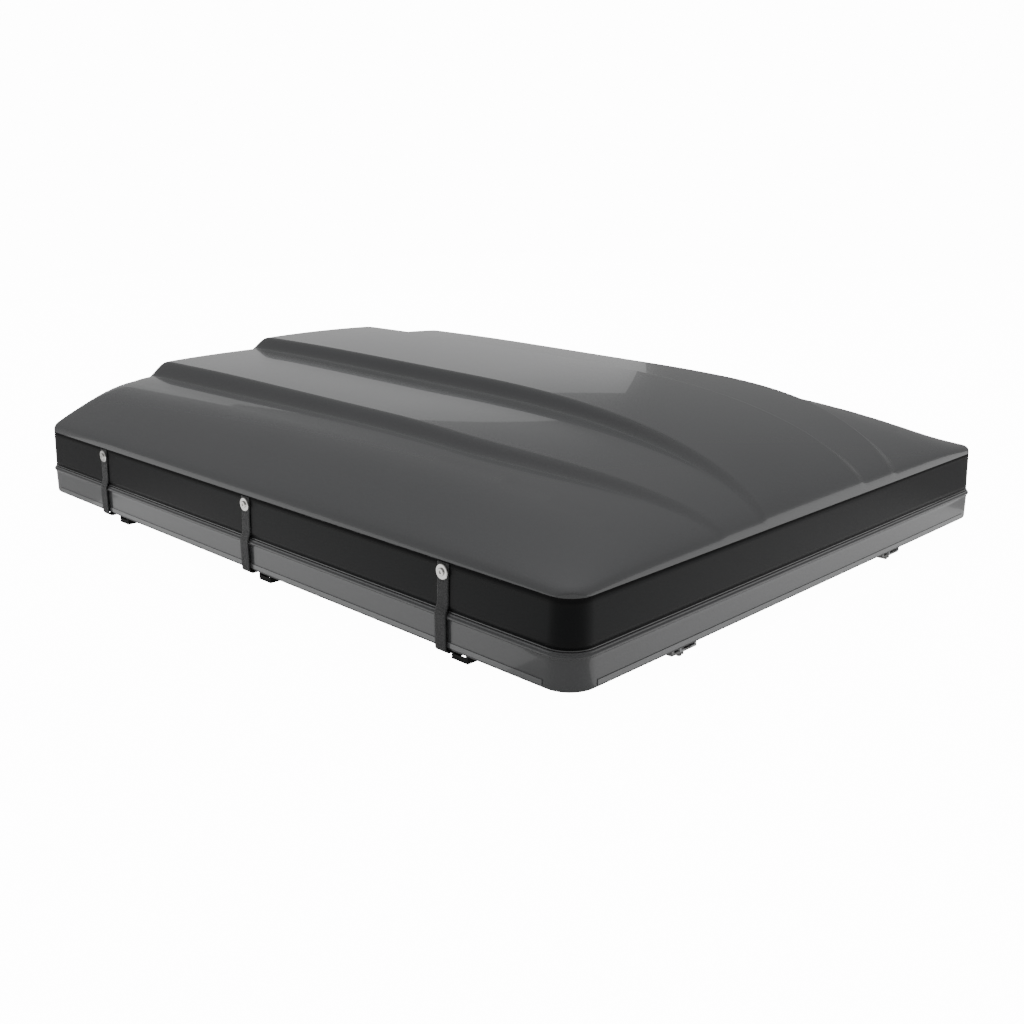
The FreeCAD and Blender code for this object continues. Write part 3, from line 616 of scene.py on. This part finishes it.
MAT = {
    "roof_shell": material("Roof gloss grey", (0.072, 0.073, 0.075), 0.26, coat=0.5, coat_rough=0.03,
                           spec=0.35, scale=14, height=0.006, vary=0.03),
    "band": material("Band satin black", (0.006, 0.006, 0.0065), 0.42, spec=0.14, scale=14,
                     height=0.006, vary=0.03),
    "tray_shell": material("Tray gloss grey", (0.062, 0.063, 0.065), 0.28, coat=0.5, coat_rough=0.05,
                           spec=0.35, scale=14, height=0.006, vary=0.03),
    "tray_strip": material("Edging grey", (0.115, 0.117, 0.12), 0.32, coat=0.6, coat_rough=0.1, vary=0.04),
    "seal": material("Seal rubber", (0.014, 0.014, 0.014), 0.7, scale=300, height=0.2, vary=0.1),
    "frame_alloy": material("Anodised alloy", (0.72, 0.73, 0.74), 0.34, metallic=1.0, scale=240,
                            height=0.05, vary=0.12, shade=0.04),
    "liner": material("Headliner cloth", (0.40, 0.40, 0.39), 0.9, group=WEAVE, scale=1500, height=0.3,
                      sheen=0.3),
    "floor": material("Coated panel", (0.22, 0.225, 0.23), 0.5, scale=400, height=0.1, vary=0.1),
    "mattress": material("Mattress cover", (0.34, 0.35, 0.36), 0.92, group=WEAVE, scale=1700,
                         height=0.35, sheen=0.3),
    "canvas": material("Ripstop canvas", (0.30, 0.275, 0.22), 0.85, group=WEAVE, scale=2000,
                       height=0.4, sheen=0.2),
    "bow_tube": material("Bow tube", (0.62, 0.63, 0.64), 0.36, metallic=1.0, scale=200, height=0.04,
                         vary=0.1),
    "stainless": material("Brushed stainless", (0.60, 0.60, 0.59), 0.32, metallic=1.0, scale=500,
                          height=0.08, vary=0.14, aniso=0.4),
    "bright_hardware": material("Bright hardware", (0.74, 0.73, 0.71), 0.22, metallic=1.0, scale=500,
                                height=0.03, vary=0.08),
    "strut_black": material("Strut black", (0.014, 0.014, 0.015), 0.35, coat=0.4, vary=0.06),
    "strut_bracket": material("Bracket powder coat", (0.03, 0.03, 0.032), 0.6, scale=900, height=0.15,
                              vary=0.08),
    "strut_rod": material("Polished rod", (0.8, 0.8, 0.8), 0.12, metallic=1.0, vary=0.03),
    "webbing": material("Black webbing", (0.014, 0.014, 0.015), 0.78, group=WEAVE, scale=3800,
                        height=0.5, sheen=0.25),
    "buckle": material("Buckle black", (0.016, 0.016, 0.017), 0.48, scale=700, height=0.08, vary=0.1),
}
slots = {s["node"]: s["material_slot"] for s in frame["record"]["subparts"]}
for node, obj in frame["nodes"].items():
    obj.data.materials.clear()
    obj.data.materials.append(MAT[slots[node]])
for piece in (roof_skin, skirt, wall, lid_inside):
    piece.data.materials.append(MAT["roof_shell"])
band_skin.data.materials.append(MAT["band"])
tray_skin.data.materials.append(MAT["tray_shell"])
for piece in strap_objs.values():
    piece.data.materials.append(MAT["webbing"])
for node, piece in soft.items():
    piece.data.materials.append(MAT["canvas" if node == "canvas_bundle" else "mattress"])
print(len(MAT), "materials on", len(frame["nodes"]), "nodes")

# %% [markdown]
# ## Floor, light and camera
# A pale studio floor and a large soft light overhead that leaves no reflection. Three wide
# lights stand behind and beside the tent, and two low cards on the floor light its sides.
# Floor and world look white to the camera and are dim in reflections.

# %% Stage
def seen_by_camera(tree, socket, other, direct):
    """Feed a strength socket: direct for camera rays, other for light and reflections."""
    path = tree.nodes.new("ShaderNodeLightPath")
    level = tree.nodes.new("ShaderNodeMapRange")
    level.inputs["To Min"].default_value, level.inputs["To Max"].default_value = other, direct
    tree.links.new(path.outputs["Is Camera Ray"], level.inputs["Value"])
    tree.links.new(level.outputs[0], socket)


bpy.ops.mesh.primitive_plane_add(size=14, location=(0, 0, -0.0005))
floor = bpy.context.object
floor.name = "floor"
fm = bpy.data.materials.new("Studio floor")
fm.use_nodes = True
fp = fm.node_tree.nodes["Principled BSDF"]
fp.inputs["Base Color"].default_value = (0.55, 0.55, 0.55, 1)
fp.inputs["Emission Color"].default_value = (1, 1, 1, 1)
fp.inputs["Roughness"].default_value = 0.9
seen_by_camera(fm.node_tree, fp.inputs["Emission Strength"], 0.08, 14.0)
back = fm.node_tree.nodes.new("ShaderNodeNewGeometry")
see_through = fm.node_tree.nodes.new("ShaderNodeMath")
see_through.operation = "SUBTRACT"
see_through.inputs[0].default_value = 1.0
fm.node_tree.links.new(back.outputs["Backfacing"], see_through.inputs[1])
fm.node_tree.links.new(see_through.outputs[0], fp.inputs["Alpha"])
floor.data.materials.append(fm)


def area_light(name, at, aim, size, power):
    data = bpy.data.lights.new(name, "AREA")
    data.shape, data.size, data.size_y, data.energy = "RECTANGLE", size[0], size[1], power
    o = bpy.data.objects.new(name, data)
    o.location = at
    o.rotation_euler = (Vector(aim) - Vector(at)).to_track_quat("-Z", "Y").to_euler()
    bpy.context.scene.collection.objects.link(o)
    return o


overhead = area_light("overhead", (0.0, 0.0, 5.0), (0, 0, 0), (7.0, 7.0), 340)
overhead.visible_glossy = False
area_light("back_wall", (2.55, 4.42, 1.0), (0, 0, 0.6), (5.0, 2.6), 16.5)
area_light("left_wall", (-4.2, 3.0, 0.7), (0, 0, 0.3), (5.0, 1.4), 20)
area_light("right_wall", (3.4, -3.8, 0.7), (0, 0, 0.3), (5.0, 1.4), 24)
for name, at, size, power in (("left_card", (-0.93, 0.06, 0.004), (0.5, 1.34), 1.5),
                              ("front_card", (0.12, -1.08, 0.004), (1.3, 0.5), 1.5)):
    card = area_light(name, at, (at[0], at[1], 1.0), size, power)
    card.rotation_euler = (math.pi, 0, 0)
    card.visible_camera = False
world = bpy.data.worlds.new("studio")
bpy.context.scene.world = world
world.use_nodes = True
wt = world.node_tree
seen_by_camera(wt, wt.nodes["Background"].inputs["Strength"], 0.24, 14.0)
wt.nodes["Background"].inputs["Color"].default_value = (1, 1, 1, 1)

cam = bpy.data.cameras.new("camera")
cam.lens, cam.sensor_width = 40.40, 36.0
cam_obj = bpy.data.objects.new("camera", cam)
bpy.context.scene.collection.objects.link(cam_obj)
yaw, pitch = math.radians(45.445), math.radians(16.043)
cam_obj.location = (-1.6995, -1.7319, 0.6734 + UNDER)
cam_obj.rotation_euler = (math.pi / 2 - pitch, 0, -yaw)
bpy.context.scene.camera = cam_obj
print("camera at", tuple(round(c, 3) for c in cam_obj.location))
